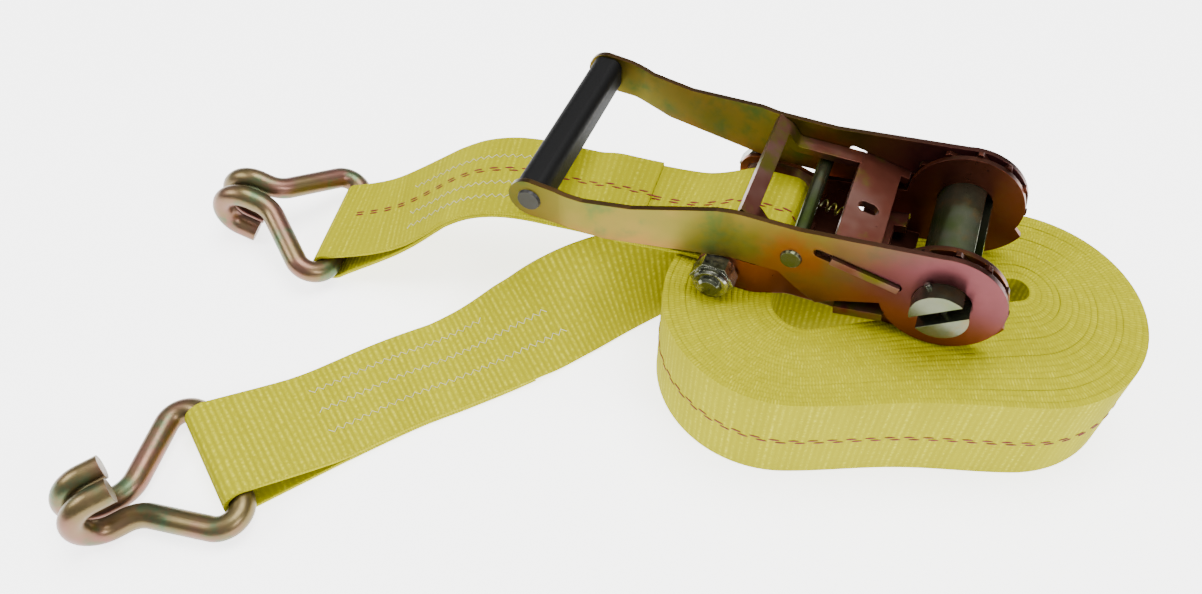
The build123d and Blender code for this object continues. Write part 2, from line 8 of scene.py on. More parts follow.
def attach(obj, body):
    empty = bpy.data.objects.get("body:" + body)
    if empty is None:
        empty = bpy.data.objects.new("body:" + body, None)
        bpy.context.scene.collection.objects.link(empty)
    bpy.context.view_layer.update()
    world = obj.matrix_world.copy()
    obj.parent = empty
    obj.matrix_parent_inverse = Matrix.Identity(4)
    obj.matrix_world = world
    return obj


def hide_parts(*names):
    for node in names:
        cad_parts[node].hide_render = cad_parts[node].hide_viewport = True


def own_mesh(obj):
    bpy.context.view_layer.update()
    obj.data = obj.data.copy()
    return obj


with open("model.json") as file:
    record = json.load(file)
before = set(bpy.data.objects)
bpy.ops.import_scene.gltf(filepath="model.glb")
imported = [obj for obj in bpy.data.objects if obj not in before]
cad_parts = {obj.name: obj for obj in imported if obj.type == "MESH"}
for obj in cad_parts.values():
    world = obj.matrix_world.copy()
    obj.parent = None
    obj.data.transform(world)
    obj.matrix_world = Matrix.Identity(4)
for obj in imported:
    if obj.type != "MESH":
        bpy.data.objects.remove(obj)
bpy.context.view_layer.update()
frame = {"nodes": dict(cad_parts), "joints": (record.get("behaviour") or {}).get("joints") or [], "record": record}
mm = 0.001
up = Vector((0, 0, 1))
scene = bpy.context.scene
joints = {j["name"]: j for j in frame["joints"]}
spoolAt = Vector(joints["spool_turn"]["pos_m"])
boltAt = Vector(joints["short_strap_swing"]["pos_m"])
longBar = Vector(joints["long_hook_swing"]["pos_m"])
shortBar = Vector(joints["short_hook_swing"]["pos_m"])

# camera
cameraLook = {"place": (-36.5, -314.4, 380.9), "right": (0.9304, 0.3664, 0.0100),
              "up": (-0.2887, 0.7156, 0.6360), "back": (0.2259, -0.5946, 0.7716), "lens": 29.95}
cameraData = bpy.data.cameras.new("camera")
cameraData.lens = cameraLook["lens"]
cameraData.sensor_width = 36
cameraData.clip_start = 0.01
camera = bpy.data.objects.new("camera", cameraData)
scene.collection.objects.link(camera)
turn = Matrix((cameraLook["right"], cameraLook["up"], cameraLook["back"])).transposed()
cameraAt = Vector(cameraLook["place"]) * mm + Vector((spoolAt.x, spoolAt.y, 0))
camera.matrix_world = Matrix.Translation(cameraAt) @ turn.to_4x4()
scene.camera = camera
print("camera placed")


# shader helpers: a socket that takes part in sums
class Wire:
    def __init__(self, tree, socket):
        self.tree = tree
        self.socket = socket

    def plug(self, target, value):
        if isinstance(value, Wire):
            self.tree.links.new(value.socket, target)
        else:
            target.default_value = value

    def math(self, operation, *values, clamp=False):
        node = self.tree.nodes.new("ShaderNodeMath")
        node.operation = operation
        node.use_clamp = clamp
        for target, value in zip(node.inputs, values):
            self.plug(target, value)
        return Wire(self.tree, node.outputs[0])

    def __add__(self, other):
        return self.math("ADD", self, other)

    def __radd__(self, other):
        return self.math("ADD", other, self)

    def __sub__(self, other):
        return self.math("SUBTRACT", self, other)

    def __rsub__(self, other):
        return self.math("SUBTRACT", other, self)

    def __mul__(self, other):
        return self.math("MULTIPLY", self, other)

    def __rmul__(self, other):
        return self.math("MULTIPLY", other, self)

    def __truediv__(self, other):
        return self.math("DIVIDE", self, other)

    def __rtruediv__(self, other):
        return self.math("DIVIDE", other, self)

    def __pow__(self, other):
        return self.math("POWER", self, other)

    def cosine(self):
        return self.math("COSINE", self)

    def size(self):
        return self.math("ABSOLUTE", self)

    def node(self, kind, values, output=0, **settings):
        made = self.tree.nodes.new(kind)
        for key, value in settings.items():
            setattr(made, key, value)
        for key, value in values.items():
            self.plug(made.inputs[key], value)
        return Wire(self.tree, made.outputs[output])

    def ramp(self, low, high):
        made = self.tree.nodes.new("ShaderNodeMapRange")
        made.interpolation_type = "SMOOTHSTEP"
        self.plug(made.inputs["Value"], self)
        made.inputs["From Min"].default_value = low
        made.inputs["From Max"].default_value = high
        return Wire(self.tree, made.outputs["Result"])

    def blend(self, first, second):
        made = self.tree.nodes.new("ShaderNodeMix")
        made.data_type = "RGBA"
        self.plug(made.inputs["Factor"], self)
        for index, value in ((6, first), (7, second)):
            self.plug(made.inputs[index], value if isinstance(value, Wire) else (*value, 1))
        return Wire(self.tree, made.outputs[2])


def startMaterial(name, source, output, **constants):
    material = bpy.data.materials.new(name)
    material.use_nodes = True
    tree = material.node_tree
    shader = tree.nodes["Principled BSDF"]
    for key, value in constants.items():
        shader.inputs[key.replace("_", " ")].default_value = value
    made = tree.nodes.new(source)
    return material, shader, Wire(tree, made.outputs[output])


def noise(start, vector, scale, detail=2.0, roughness=0.5):
    return start.node("ShaderNodeTexNoise", {"Vector": vector, "Scale": scale, "Detail": detail,
                                             "Roughness": roughness}, output="Fac")


def split(start, vector):
    made = start.tree.nodes.new("ShaderNodeSeparateXYZ")
    start.tree.links.new(vector.socket, made.inputs[0])
    return [Wire(start.tree, output) for output in made.outputs]


def join(start, x, y, z):
    return start.node("ShaderNodeCombineXYZ", {"X": x, "Y": y, "Z": z})


# webbing materials, on the strip's own UV in metres: along it, then across it
# the third webbing colour is the colour of a painted highlight, the glints on the weave
webLook = {"light": (0.35, 0.33, 0.0001), "deep": (0.25, 0.23, 0.0001), "paintedGlint": (0.80, 0.75, 0.05),
           "ribPitch": 2.7, "dotPitch": 2.1, "edgePitch": 1.3}


def webbing(name, pitch, ribDepth, glintStrength, slant, patchy):
    material, shader, uv = startMaterial(name, "ShaderNodeUVMap", "UV", Roughness=0.8)
    shader.inputs["Specular IOR Level"].default_value = 0.05
    along, across, _ = split(uv, uv)
    phase = along / (pitch * mm) + noise(uv, join(uv, along * 26, 0, 0), 1.0, 2) * 0.9
    rib = (phase * 6.2832).cosine() * 0.5 + 0.5
    dot = ((across / (webLook["dotPitch"] * mm) + phase * slant) * 6.2832).cosine() * 0.5 + 0.5
    broad = noise(uv, join(uv, along * 60, across * 12, 0), 1.0, 3)
    streak = noise(uv, join(uv, along * 170, across * 9, 0), 1.0, 2)
    fine = noise(uv, join(uv, along * 1700, across * 1100, 0), 1.0, 2)
    speck = noise(uv, join(uv, along * 420, across * 520, 0), 1.0, 1)
    # painted shade: the rib term darkens the rib troughs towards the deep tone; the broad, fine and speck noise
    # give random tone
    shade = (rib * 0.32 * ribDepth + broad * 0.5 + fine * 0.3 + speck * 0.1).ramp(0.12, 0.75)
    colour = shade.blend(webLook["deep"], webLook["light"])
    # painted highlight: whitish glints along the rib crests, in patches, blended into the colour; the fourth
    # argument sets their strength
    spark = speck.ramp(0.3, 0.72) * (dot * 0.4 + 0.6)
    shine = (rib ** 2.0) * spark * (streak * 0.7 + fine * 0.6).ramp(patchy, patchy + 0.25)
    colour = (shine * glintStrength).blend(colour, webLook["paintedGlint"])
    height = rib * (dot * 0.45 + 0.55) * ribDepth + fine * 0.15
    bump = uv.node("ShaderNodeBump", {"Height": height, "Strength": 0.6, "Distance": 0.2 * mm})
    uv.plug(shader.inputs["Base Color"], colour)
    uv.plug(shader.inputs["Normal"], bump)
    return material


webFace = webbing("webbingFace", webLook["ribPitch"], 0.35, 0.5, 0.5, 0.55)
webBack = webbing("webbingBack", webLook["ribPitch"], 0.7, 0.5, 0.35, 0.42)
webEdge = webbing("webbingEdge", webLook["edgePitch"], 0.5, 0.42, 0.3, 0.5)


def plainMaterial(name, colour, roughness, grain, metallic=0.0, specular=0.5):
    material, shader, spot = startMaterial(name, "ShaderNodeTexCoord", "Object", Metallic=metallic)
    shader.inputs["Specular IOR Level"].default_value = specular
    rough = noise(spot, spot, grain, 3)
    spot.plug(shader.inputs["Base Color"], rough.blend([c * 0.75 for c in colour], colour))
    spot.plug(shader.inputs["Roughness"], rough * 0.2 + (roughness - 0.1))
    return material


tracerThread = plainMaterial("tracerThread", (0.17, 0.006, 0.002), 0.7, 900)
seamThread = plainMaterial("seamThread", (0.66, 0.64, 0.40), 0.8, 1200)
print("webbing materials made")


# zinc plated steel: interference colours laid over each other by noise and by place, with painted shade between
# the plates and on faces that point up
def zinc(name, colours, roughness, grain=24, masks=(), metallic=0.92, bevel=0.35, paintedTopShade=0.0):
    material, shader, spot = startMaterial(name, "ShaderNodeTexCoord", "Object", Metallic=metallic)
    x, y, z = split(spot, spot)
    patch = noise(spot, spot, grain, 3, 0.6)
    colour = patch.ramp(0.36, 0.62).blend(colours[0], colours[1])
    second = noise(spot, join(spot, x + 0.7, y, z + 0.3), grain * 1.7, 4, 0.62)
    colour = second.ramp(0.5, 0.68).blend(colour, colours[2])
    for kind, centre, inner, outer, tint, most in masks:
        if kind == "round":      # distance from a line across the ratchet
            dx, dz = x - centre[0], z - centre[1]
            reach = (dx * dx + dz * dz) ** 0.5
            mask = 1.0 - (reach + (second - 0.5) * 0.03).ramp(inner, outer)
        elif kind == "paintedShadeBetween":   # painted shade: a darker tint between the plates
            mask = 1.0 - (y - centre[0]).size().ramp(inner, outer)
        else:                    # below a height
            mask = 1.0 - (z - centre[1] + (patch - 0.5) * 0.02).ramp(inner, outer)
        colour = (mask * most).blend(colour, tint)
    if paintedTopShade:                      # painted shade: faces pointing up are darkened towards brown, a painted dark reflection
        shape = Wire(spot.tree, spot.socket.node.outputs["Normal"])
        colour = (split(spot, shape)[2].ramp(0.6, 0.9) * paintedTopShade).blend(colour, zincLook["brown"])
    fine = noise(spot, spot, 420, 3)
    scratch = noise(spot, join(spot, x * 60, y * 900, z * 900), 1.0, 2)
    rough = (fine * 0.16 + scratch * 0.12 + second * 0.12) + (roughness - 0.2)
    edge = spot.node("ShaderNodeBevel", {"Radius": bevel * mm}, samples=4)
    bump = spot.node("ShaderNodeBump", {"Height": fine + scratch * 0.5, "Strength": 0.10,
                                        "Distance": 0.05 * mm, "Normal": edge})
    spot.plug(shader.inputs["Base Color"], colour)
    spot.plug(shader.inputs["Roughness"], rough)
    spot.plug(shader.inputs["Normal"], bump)
    return material


hub = (spoolAt.x, spoolAt.z)
rivetAt = (spoolAt.x - 0.061, spoolAt.z + 0.0015)
zincLook = {"olive": (0.12, 0.105, 0.012), "green": (0.06, 0.09, 0.018), "yellow": (0.165, 0.112, 0.016),
            "orange": (0.23, 0.060, 0.009), "pink": (0.105, 0.022, 0.036), "rose": (0.13, 0.038, 0.024),
            "brown": (0.035, 0.012, 0.006), "silver": (0.10, 0.108, 0.07), "bronze": (0.14, 0.105, 0.045),
            "sheenPink": (0.18, 0.085, 0.065), "sheenGreen": (0.075, 0.11, 0.055),
            "bright": (0.42, 0.42, 0.36), "dull": (0.19, 0.095, 0.075), "black": (0.02, 0.017, 0.013)}
tone = zincLook
# the last keyword of a zinc finish sets the painted shade on faces that point up
finishes = {
    "handle_zinc": zinc("handleZinc", (tone["yellow"], tone["olive"], tone["green"]), 0.36, 22, (
        ("round", hub, 0.020, 0.062, tone["pink"], 0.9),
        ("round", rivetAt, 0.004, 0.018, tone["orange"], 0.75),
        ("below", (0, spoolAt.z - 0.004), -0.012, 0.004, tone["orange"], 0.6)), paintedTopShade=0.85),
    # the base's mask between its plates paints shade there in rose
    "base_zinc": zinc("baseZinc", (tone["orange"], tone["rose"], tone["yellow"]), 0.32, 26, (
        ("paintedShadeBetween", (spoolAt.y,), 0.0264, 0.0276, tone["rose"], 0.9),), paintedTopShade=0.8),
    "pawl_zinc": zinc("pawlZinc", (tone["rose"], tone["dull"], tone["olive"]), 0.34, 26),
    "spool_zinc": zinc("spoolZinc", (tone["silver"], tone["green"], tone["bronze"]), 0.2, 34),
    "wheel_zinc": zinc("wheelZinc", (tone["rose"], tone["brown"], tone["bronze"]), 0.3, 60),
    "bolt_zinc": zinc("boltZinc", (tone["bright"], tone["silver"], tone["black"]), 0.18, 110),
    "hook_zinc": zinc("hookZinc", (tone["bronze"], tone["sheenPink"], tone["sheenGreen"]), 0.36, 34),
    "spring_steel": zinc("springSteel", (tone["silver"], tone["olive"], tone["brown"]), 0.3, 90, bevel=0.05),
    "black_steel": plainMaterial("blackSteel", (0.035, 0.034, 0.034), 0.4, 500, 0.6),
    "grip_plastic": plainMaterial("gripPlastic", (0.002, 0.002, 0.0022), 0.6, 700, specular=0.15),
    "webbing": webFace,
}
for row in frame["record"]["subparts"]:
    node = frame["nodes"][row["node"]]
    node.data.materials.clear()
    node.data.materials.append(finishes[row["material_slot"]])
print("metal finishes made")


# strips of webbing: each station is (middle, across), the rest follows from the next one
stripLook = {"width": 50.6, "thickness": 1.8}
crossShape = ((-1.0, 0.92), (-0.994, 0.98), (-0.98, 1.0), (-0.5, 1.0), (0.0, 1.0), (0.5, 1.0), (0.98, 1.0),
              (0.994, 0.98), (1.0, 0.92))


def orient(stations, fullness=None):
    fullness = fullness or [1.0] * len(stations)
    result, run = [], 0.0
    for index, (middle, across) in enumerate(stations):
        before = stations[max(index - 1, 0)][0]
        after = stations[min(index + 1, len(stations) - 1)][0]
        heading = (after - before).normalized()
        normal = across.cross(heading).normalized()
        if index:
            run += (middle - before).length
        result.append((middle, across, normal, heading, run, fullness[index]))
    return result


def strip(name, stations, materials):
    half, deep = stripLook["width"] / 2 * mm, stripLook["thickness"] / 2 * mm
    ring = [(v * half, h * deep) for v, h in crossShape]
    ring += [(v * half, -h * deep) for v, h in reversed(crossShape)]
    count, columns = len(ring), len(crossShape)
    points = [middle + across * v + normal * h * full
              for middle, across, normal, _, _, full in stations for v, h in ring]
    faces, kinds, uvs = [], [], []
    for row in range(len(stations) - 1):
        lengths = (stations[row][4], stations[row + 1][4])
        for side in range(count):
            nextSide = (side + 1) % count
            a, b = row * count + side, row * count + nextSide
            faces.append((a, b, b + count, a + count))
            v, w = ring[side][0], ring[nextSide][0]
            if 2 <= side < columns - 3:
                kinds.append(0)
            elif columns + 2 <= side < count - 3:
                kinds.append(1)
            else:
                kinds.append(2)
                if side in (columns - 1, count - 1):
                    v, w = 0.0, deep
            uvs += [(lengths[0], v), (lengths[0], w), (lengths[1], w), (lengths[1], v)]
    last = (len(stations) - 1) * count
    for column in range(columns - 1):
        a, b = column, column + 1
        quad = (a, count - 1 - a, count - 1 - b, b)
        faces.append(quad)
        faces.append(tuple(last + q for q in reversed(quad)))
        kinds += [2, 2]
        uvs += [(ring[q][1], ring[q][0]) for q in quad] + [(ring[q][1], ring[q][0]) for q in reversed(quad)]
    mesh = bpy.data.meshes.new(name)
    mesh.from_pydata(points, [], faces)
    layer = mesh.uv_layers.new(name="UVMap")
    layer.data.foreach_set("uv", [c for pair in uvs for c in pair])
    for material in materials:
        mesh.materials.append(material)
    mesh.polygons.foreach_set("material_index", kinds)
    mesh.polygons.foreach_set("use_smooth", [True] * len(faces))
    mesh.update()
    piece = bpy.data.objects.new(name, mesh)
    scene.collection.objects.link(piece)
    return piece


def spline(points, step):
    result = []
    for index in range(len(points) - 1):
        p0, p1 = points[max(index - 1, 0)], points[index]
        p2, p3 = points[index + 1], points[min(index + 2, len(points) - 1)]
        pieces = max(2, round((p2 - p1).length / step))
        for part in range(pieces):
            t = part / pieces
            result.append(0.5 * (2 * p1 + (p2 - p0) * t + (2 * p0 - 5 * p1 + 4 * p2 - p3) * t * t
                                 + (3 * p1 - p0 - 3 * p2 + p3) * t ** 3))
    result.append(points[-1].copy())
    return result


def wrap(centre, back, radius, entry, leave, step=1.2 * mm):
    # round a bar: from the entry point over the top to the leaving point below, as (away, height)
    reach = math.hypot(*entry), math.hypot(*leave)
    first = math.atan2(entry[1], entry[0]) + math.acos(radius / reach[0])
    second = math.atan2(leave[1], leave[0]) - math.acos(radius / reach[1]) + 2 * math.pi
    path = []
    pieces = 12
    touch = (radius * math.cos(first), radius * math.sin(first))
    for part in range(1, pieces):
        t = part / pieces
        path.append((entry[0] + (touch[0] - entry[0]) * t, entry[1] + (touch[1] - entry[1]) * t))
    arcs = round((second - first) * radius / step)
    for part in range(arcs + 1):
        angle = first + (second - first) * part / arcs
        path.append((radius * math.cos(angle), radius * math.sin(angle)))
    touch = (radius * math.cos(second), radius * math.sin(second))
    for part in range(1, pieces):
        t = part / pieces
        path.append((touch[0] + (leave[0] - touch[0]) * t, touch[1] + (leave[1] - touch[1]) * t))
    return [centre + back * u + up * v for u, v in path]


def relax(points, first, last, rounds):
    for _ in range(rounds):
        moved = [(points[i - 1] + points[i] * 2 + points[i + 1]) / 4 for i in range(first, last)]
        points[first:last] = moved


def outward(heading):
    return Vector((heading.y, -heading.x, 0)).normalized()


# long strap: wound on edge from the eye outwards, then the run, round the hook's bar and back under itself
coilLook = {"turns": 19, "steps": 150, "eyeLeft": (-41.5, 0.0, 15.45), "eyeRight": (50.5, 6.5, 5.95),
            "outerLeft": (-49.2, 0.0, 51.55), "outerRight": (49.2, 0.0, 51.55), "dip": 2.0, "turned": 22.0,
            "centre": (-13.0, -14.4), "looseness": 0.07, "seed": 5, "fill": 1.04,
            "exitAngle": 31.0, "wobblesPerTurn": 7, "floorGap": 0.08}
runLook = {"edge": ((-111.4, -11.9, 84), (-119.5, -23.5, 72), (-128.5, -37.0, 56), (-138.5, -53.0, 38),
                    (-149.5, -69.0, 21), (-163.0, -86.0, 7), (-179.0, -104.0, 0), (-196.0, -122.5, 0)),
           "hookTurn": 234.0, "loopLength": 42.0, "step": 2.5, "floorGap": 0.05, "nominal": 1.9,
           "halfWidth": 25.4, "hookWire": 5.25, "hookSlack": 1.0}
random.seed(coilLook["seed"])
arcShare = 0.3
coilTurned = Matrix.Rotation(math.radians(coilLook["turned"]), 3, "Z")
coilMiddle = Vector((spoolAt.x + coilLook["centre"][0] * mm, spoolAt.y + coilLook["centre"][1] * mm, 0))


def coilPoint(t, share):
    left, right = ([inner + (outer - inner) * share
                    for inner, outer in zip(coilLook["eye" + end], coilLook["outer" + end])]
                   for end in ("Left", "Right"))
    t = t % 1.0
    if t < arcShare:
        angle = math.radians(90 + t / arcShare * 180)
        flat = (left[0] + left[2] * math.cos(angle), left[1] + left[2] * math.sin(angle))
    elif t < 0.5:
        part = (t - arcShare) / (0.5 - arcShare)
        low = (left[1] - left[2]) * (1 - part) + (right[1] - right[2]) * part
        flat = (left[0] + (right[0] - left[0]) * part,
                low + coilLook["dip"] * share ** 2 * math.sin(math.pi * part) ** 2)
    elif t < 0.5 + arcShare:
        angle = math.radians(-90 + (t - 0.5) / arcShare * 180)
        flat = (right[0] + right[2] * math.cos(angle), right[1] + right[2] * math.sin(angle))
    else:
        part = (t - 0.5 - arcShare) / (0.5 - arcShare)
        flat = (right[0] + (left[0] - right[0]) * part,
                (right[1] + right[2]) * (1 - part) + (left[1] + left[2]) * part)
    return coilMiddle + coilTurned @ Vector((flat[0] * mm, flat[1] * mm, 0))


exitAt = coilLook["exitAngle"] / 180 * arcShare
turns, steps, wobbles = coilLook["turns"], coilLook["steps"], coilLook["wobblesPerTurn"]
knots = [random.uniform(-1, 1) for _ in range(turns * wobbles + 2)]
edgeLine, shifts, fullness = [], [], []
for index in range(turns * steps):
    done = index / steps
    knot, rest = int(done * wobbles), done * wobbles % 1
    wobble = knots[knot] + (knots[knot + 1] - knots[knot]) * (3 * rest ** 2 - 2 * rest ** 3)
    fade = min(1.0, (turns - done) / 1.5, done / 0.3)
    share = done / (turns - 1) + wobble * fade * coilLook["looseness"] / turns
    edgeLine.append(coilPoint(exitAt + done, share))
    shifts.append(wobble * 0.1 * fade)
    pitch = (coilPoint(exitAt + done, share + 1 / (turns - 1)) - edgeLine[-1]).length / mm
    swell = coilLook["fill"] * pitch / stripLook["thickness"]      # each turn fills its share of the coil
    fullness.append(1.0 + (swell - 1.0) * min(1.0, (turns - done) * 3))
exitPoint = coilPoint(exitAt, turns / (turns - 1))
runKnots = [edgeLine[-4], exitPoint] + [Vector((spoolAt.x + x * mm, spoolAt.y + y * mm, 0))
                                        for x, y, _ in runLook["edge"]]
hookTurn = math.radians(runLook["hookTurn"])
longBack = Vector((-math.cos(hookTurn), -math.sin(hookTurn), 0))
longAcross = outward(-longBack)
longApex = longBar + longBack * runLook["loopLength"] * mm
runKnots.append(Vector((longApex.x, longApex.y, 0)) - longAcross * runLook["halfWidth"] * mm)
runLeans = [90, 90] + [lean for _, _, lean in runLook["edge"]] + [0]
tagged = [Vector((p.x, p.y, lean * mm)) for p, lean in zip(runKnots, runLeans)]
runLine = spline(tagged, runLook["step"] * mm)[2:]

wide = runLook["halfWidth"] * mm
mainMiddles, mainAcross = [], []
for point, shift in zip(edgeLine, shifts):
    mainMiddles.append(Vector((point.x, point.y, wide + (coilLook["floorGap"] + shift) * mm)))
    mainAcross.append(up.copy())
coilCount = len(mainMiddles)
flatRun = []
for index, point in enumerate(runLine):
    before, after = runLine[max(index - 1, 0)], runLine[min(index + 1, len(runLine) - 1)]
    heading = Vector((after.x - before.x, after.y - before.y, 0)).normalized()
    lean = math.radians(max(point.z / mm, 0.0))
    across = (outward(heading) * math.cos(lean) + up * math.sin(lean)).normalized()
    foot = Vector((point.x, point.y, (runLook["nominal"] / 2 * math.cos(lean) + runLook["floorGap"]) * mm))
    flatRun.append((foot + across * wide, across, math.degrees(lean)))
underFrom = next(i for i, row in enumerate(flatRun) if row[2] < 12)
for index, (middle, across, lean) in enumerate(flatRun):
    lift = min(1.0, max(0.0, (index - underFrom + 7) / 6))
    lift = lift * lift * (3 - 2 * lift)
    heading = (flatRun[min(index + 1, len(flatRun) - 1)][0] - flatRun[max(index - 1, 0)][0]).normalized()
    mainMiddles.append(middle + across.cross(heading).normalized() * lift * runLook["nominal"] * mm)
    mainAcross.append(across)
apexIndex = len(mainMiddles) - 1
entry = (runLook["loopLength"] * mm, mainMiddles[-1].z - longBar.z)
leave = (runLook["loopLength"] * mm, flatRun[-1][0].z - longBar.z)
barRadius = (runLook["hookWire"] + runLook["hookSlack"] + runLook["nominal"] / 2) * mm
loopPoints = wrap(longBar, longBack, barRadius, entry, leave)
mainMiddles += loopPoints
mainAcross += [longAcross] * len(loopPoints)
for middle, across, _ in reversed(flatRun[underFrom:]):
    mainMiddles.append(middle.copy())
    mainAcross.append(across)
relax(mainMiddles, coilCount - 12, coilCount + 12, 12)
relax(mainMiddles, apexIndex - 9, apexIndex + 9, 14)
fullness += [1.0] * (len(mainMiddles) - len(fullness))
longStations = orient(list(zip(mainMiddles, mainAcross)), fullness)
longStrap = strip("longStrap", longStations, (webBack, webFace, webEdge))

# short strap: from its cut end over the hook's bar, back below, round the bolt and under the cut end
shortLook = {"route": ((-109.5, 0, 54.3), (-125, 0, 52.0), (-140, -1, 51.5), (-156, -3, 52.5),
                       (-172, -6.4, 54.6), (-188, -9.7, 56.2), (-201, -12.6, 55.6), (-213, -15.4, 52.2),
                       (-224, -18.2, 46.0), (-233, -20.8, 39.0), (-242, -23.6, 31.6)),
             "hookTurn": 191.0, "apex": (31.0, 15.5), "boltRadius": 6.35, "boltSlack": (18.0, 0.6),
             "cutEnd": -130.0, "underEnd": -150.0, "step": 2.5}
hookTurn = math.radians(shortLook["hookTurn"])
shortBack = Vector((-math.cos(hookTurn), -math.sin(hookTurn), 0))
shortAcross = outward(-shortBack)
apexRun, apexRise = shortLook["apex"]
shortApex = shortBar + shortBack * apexRun * mm + up * apexRise * mm
routeKnots = [Vector((spoolAt.x + x * mm, spoolAt.y + y * mm, z * mm)) for x, y, z in shortLook["route"]]
routeLine = spline(routeKnots + [shortApex], shortLook["step"] * mm)
layers = {"lower": [], "upper": []}
for index, point in enumerate(routeLine):
    heading = (routeLine[min(index + 1, len(routeLine) - 1)] - routeLine[max(index - 1, 0)]).normalized()
    across = outward(heading)
    lift = across.cross(heading).normalized() * runLook["nominal"] / 2 * mm
    layers["upper"].append((point + lift, across, lift))
    layers["lower"].append((point - lift, across, lift))
placeOf = [(p.x - spoolAt.x) / mm for p in routeLine]
cutIndex = next(i for i, x in enumerate(placeOf) if x < shortLook["cutEnd"])
underIndex = next(i for i, x in enumerate(placeOf) if x < shortLook["underEnd"])
shortPath = []
for index in range(cutIndex, len(routeLine)):
    middle, across, lift = layers["upper"][index]
    over = 1 - min(1.0, max(0.0, (index - underIndex) / 4))
    shortPath.append((middle + lift * 2 * (over * over * (3 - 2 * over)), across))
topCount = len(shortPath)
entryPoint, leavePoint = layers["upper"][-1][0] - shortBar, layers["lower"][-1][0] - shortBar
entry = (entryPoint.dot(shortBack), entryPoint.z)
leave = (leavePoint.dot(shortBack), leavePoint.z)
shortPath += [(p, shortAcross) for p in wrap(shortBar, shortBack, barRadius, entry, leave)]
bottomStart = len(shortPath)
shortPath += [(middle, across) for middle, across, _ in reversed(layers["lower"])]
bottomEnd = len(shortPath)
toStrap = Vector((-1, 0, 0))
slack = shortLook["boltSlack"]
slackAt = boltAt + Vector((slack[0], 0, slack[1])) * mm
loopRadius = shortLook["boltRadius"] * mm
around = wrap(slackAt, toStrap, loopRadius, (slack[0] * mm, loopRadius - slack[1] * mm),
              (slack[0] * mm, -loopRadius - slack[1] * mm), 0.9 * mm)
boltAcross = layers["upper"][0][1]
lowEnd, highEnd = layers["lower"][0][0], layers["upper"][0][0]
belowBolt, overBolt = boltAt - up * loopRadius, boltAt + up * loopRadius
around = ([lowEnd.lerp(belowBolt, t / 8) for t in range(1, 9)] + list(reversed(around))
          + [overBolt.lerp(highEnd, t / 8) for t in range(8)])
shortPath += [(p, boltAcross) for p in around]
shortPath += [(middle, across) for middle, across, _ in layers["upper"][:underIndex]]
middles, acrosses = [p for p, _ in shortPath], [a for _, a in shortPath]
for line in (middles, acrosses):
    relax(line, topCount - 14, topCount + 10, 60)
    relax(line, bottomStart - 9, bottomStart + 14, 60)
relax(middles, bottomEnd - 6, bottomEnd + 6, 10)
relax(middles, bottomEnd + len(around) - 6, bottomEnd + len(around) + 6, 10)
shortStations = orient([(p, a.normalized()) for p, a in zip(middles, acrosses)])
shortStrap = strip("shortStrap", shortStations, (webFace, webBack, webEdge))


# threads and dashes that follow a rail lying on the webbing
def newGroup(name, inputs):
    group = bpy.data.node_groups.new(name, "GeometryNodeTree")
    group.interface.new_socket("Geometry", in_out="INPUT", socket_type="NodeSocketGeometry")
    for label, kind, value in inputs:
        made = group.interface.new_socket(label, in_out="INPUT", socket_type=kind)
        if value is not None:
            made.default_value = value
    group.interface.new_socket("Geometry", in_out="OUTPUT", socket_type="NodeSocketGeometry")
    return group, group.nodes.new("NodeGroupInput"), group.nodes.new("NodeGroupOutput")


def place(group, kind, links=None, **settings):
    node = group.nodes.new(kind)
    for key, value in settings.items():
        setattr(node, key, value)
    for key, value in (links or {}).items():
        if isinstance(value, bpy.types.NodeSocket):
            group.links.new(value, node.inputs[key])
        else:
            node.inputs[key].default_value = value
    return node


def dashGroup():
    group, start, end = newGroup("dashRow", (
        ("Pitch", "NodeSocketFloat", 0.008), ("Length", "NodeSocketFloat", 0.0035),
        ("Width", "NodeSocketFloat", 0.0008), ("Height", "NodeSocketFloat", 0.0002),
        ("Material", "NodeSocketMaterial", None)))
    line = place(group, "GeometryNodeMeshToCurve", {"Mesh": start.outputs["Geometry"]})
    even = place(group, "GeometryNodeResampleCurve", {"Curve": line.outputs[0],
                                                          "Length": start.outputs["Pitch"]}, mode="LENGTH")
    facing = place(group, "GeometryNodeInputNamedAttribute", {"Name": "facing"}, data_type="FLOAT_VECTOR")
    tangent = place(group, "GeometryNodeInputTangent")
    turned = place(group, "FunctionNodeAxesToRotation", {"Primary Axis": facing.outputs["Attribute"],
                                                         "Secondary Axis": tangent.outputs[0]},
                   primary_axis="Z", secondary_axis="X")
    size = place(group, "ShaderNodeCombineXYZ", {"X": start.outputs["Length"], "Y": start.outputs["Width"],
                                                 "Z": start.outputs["Height"]})
    dash = place(group, "GeometryNodeMeshUVSphere", {"Segments": 10, "Rings": 6, "Radius": 0.5})
    spread = place(group, "GeometryNodeInstanceOnPoints", {
        "Points": even.outputs[0], "Instance": dash.outputs["Mesh"], "Rotation": turned.outputs[0],
        "Scale": size.outputs[0]})
    real = place(group, "GeometryNodeRealizeInstances", {"Geometry": spread.outputs[0]})
    coated = place(group, "GeometryNodeSetMaterial", {"Geometry": real.outputs[0],
                                                      "Material": start.outputs["Material"]})
    group.links.new(coated.outputs[0], end.inputs[0])
    return group


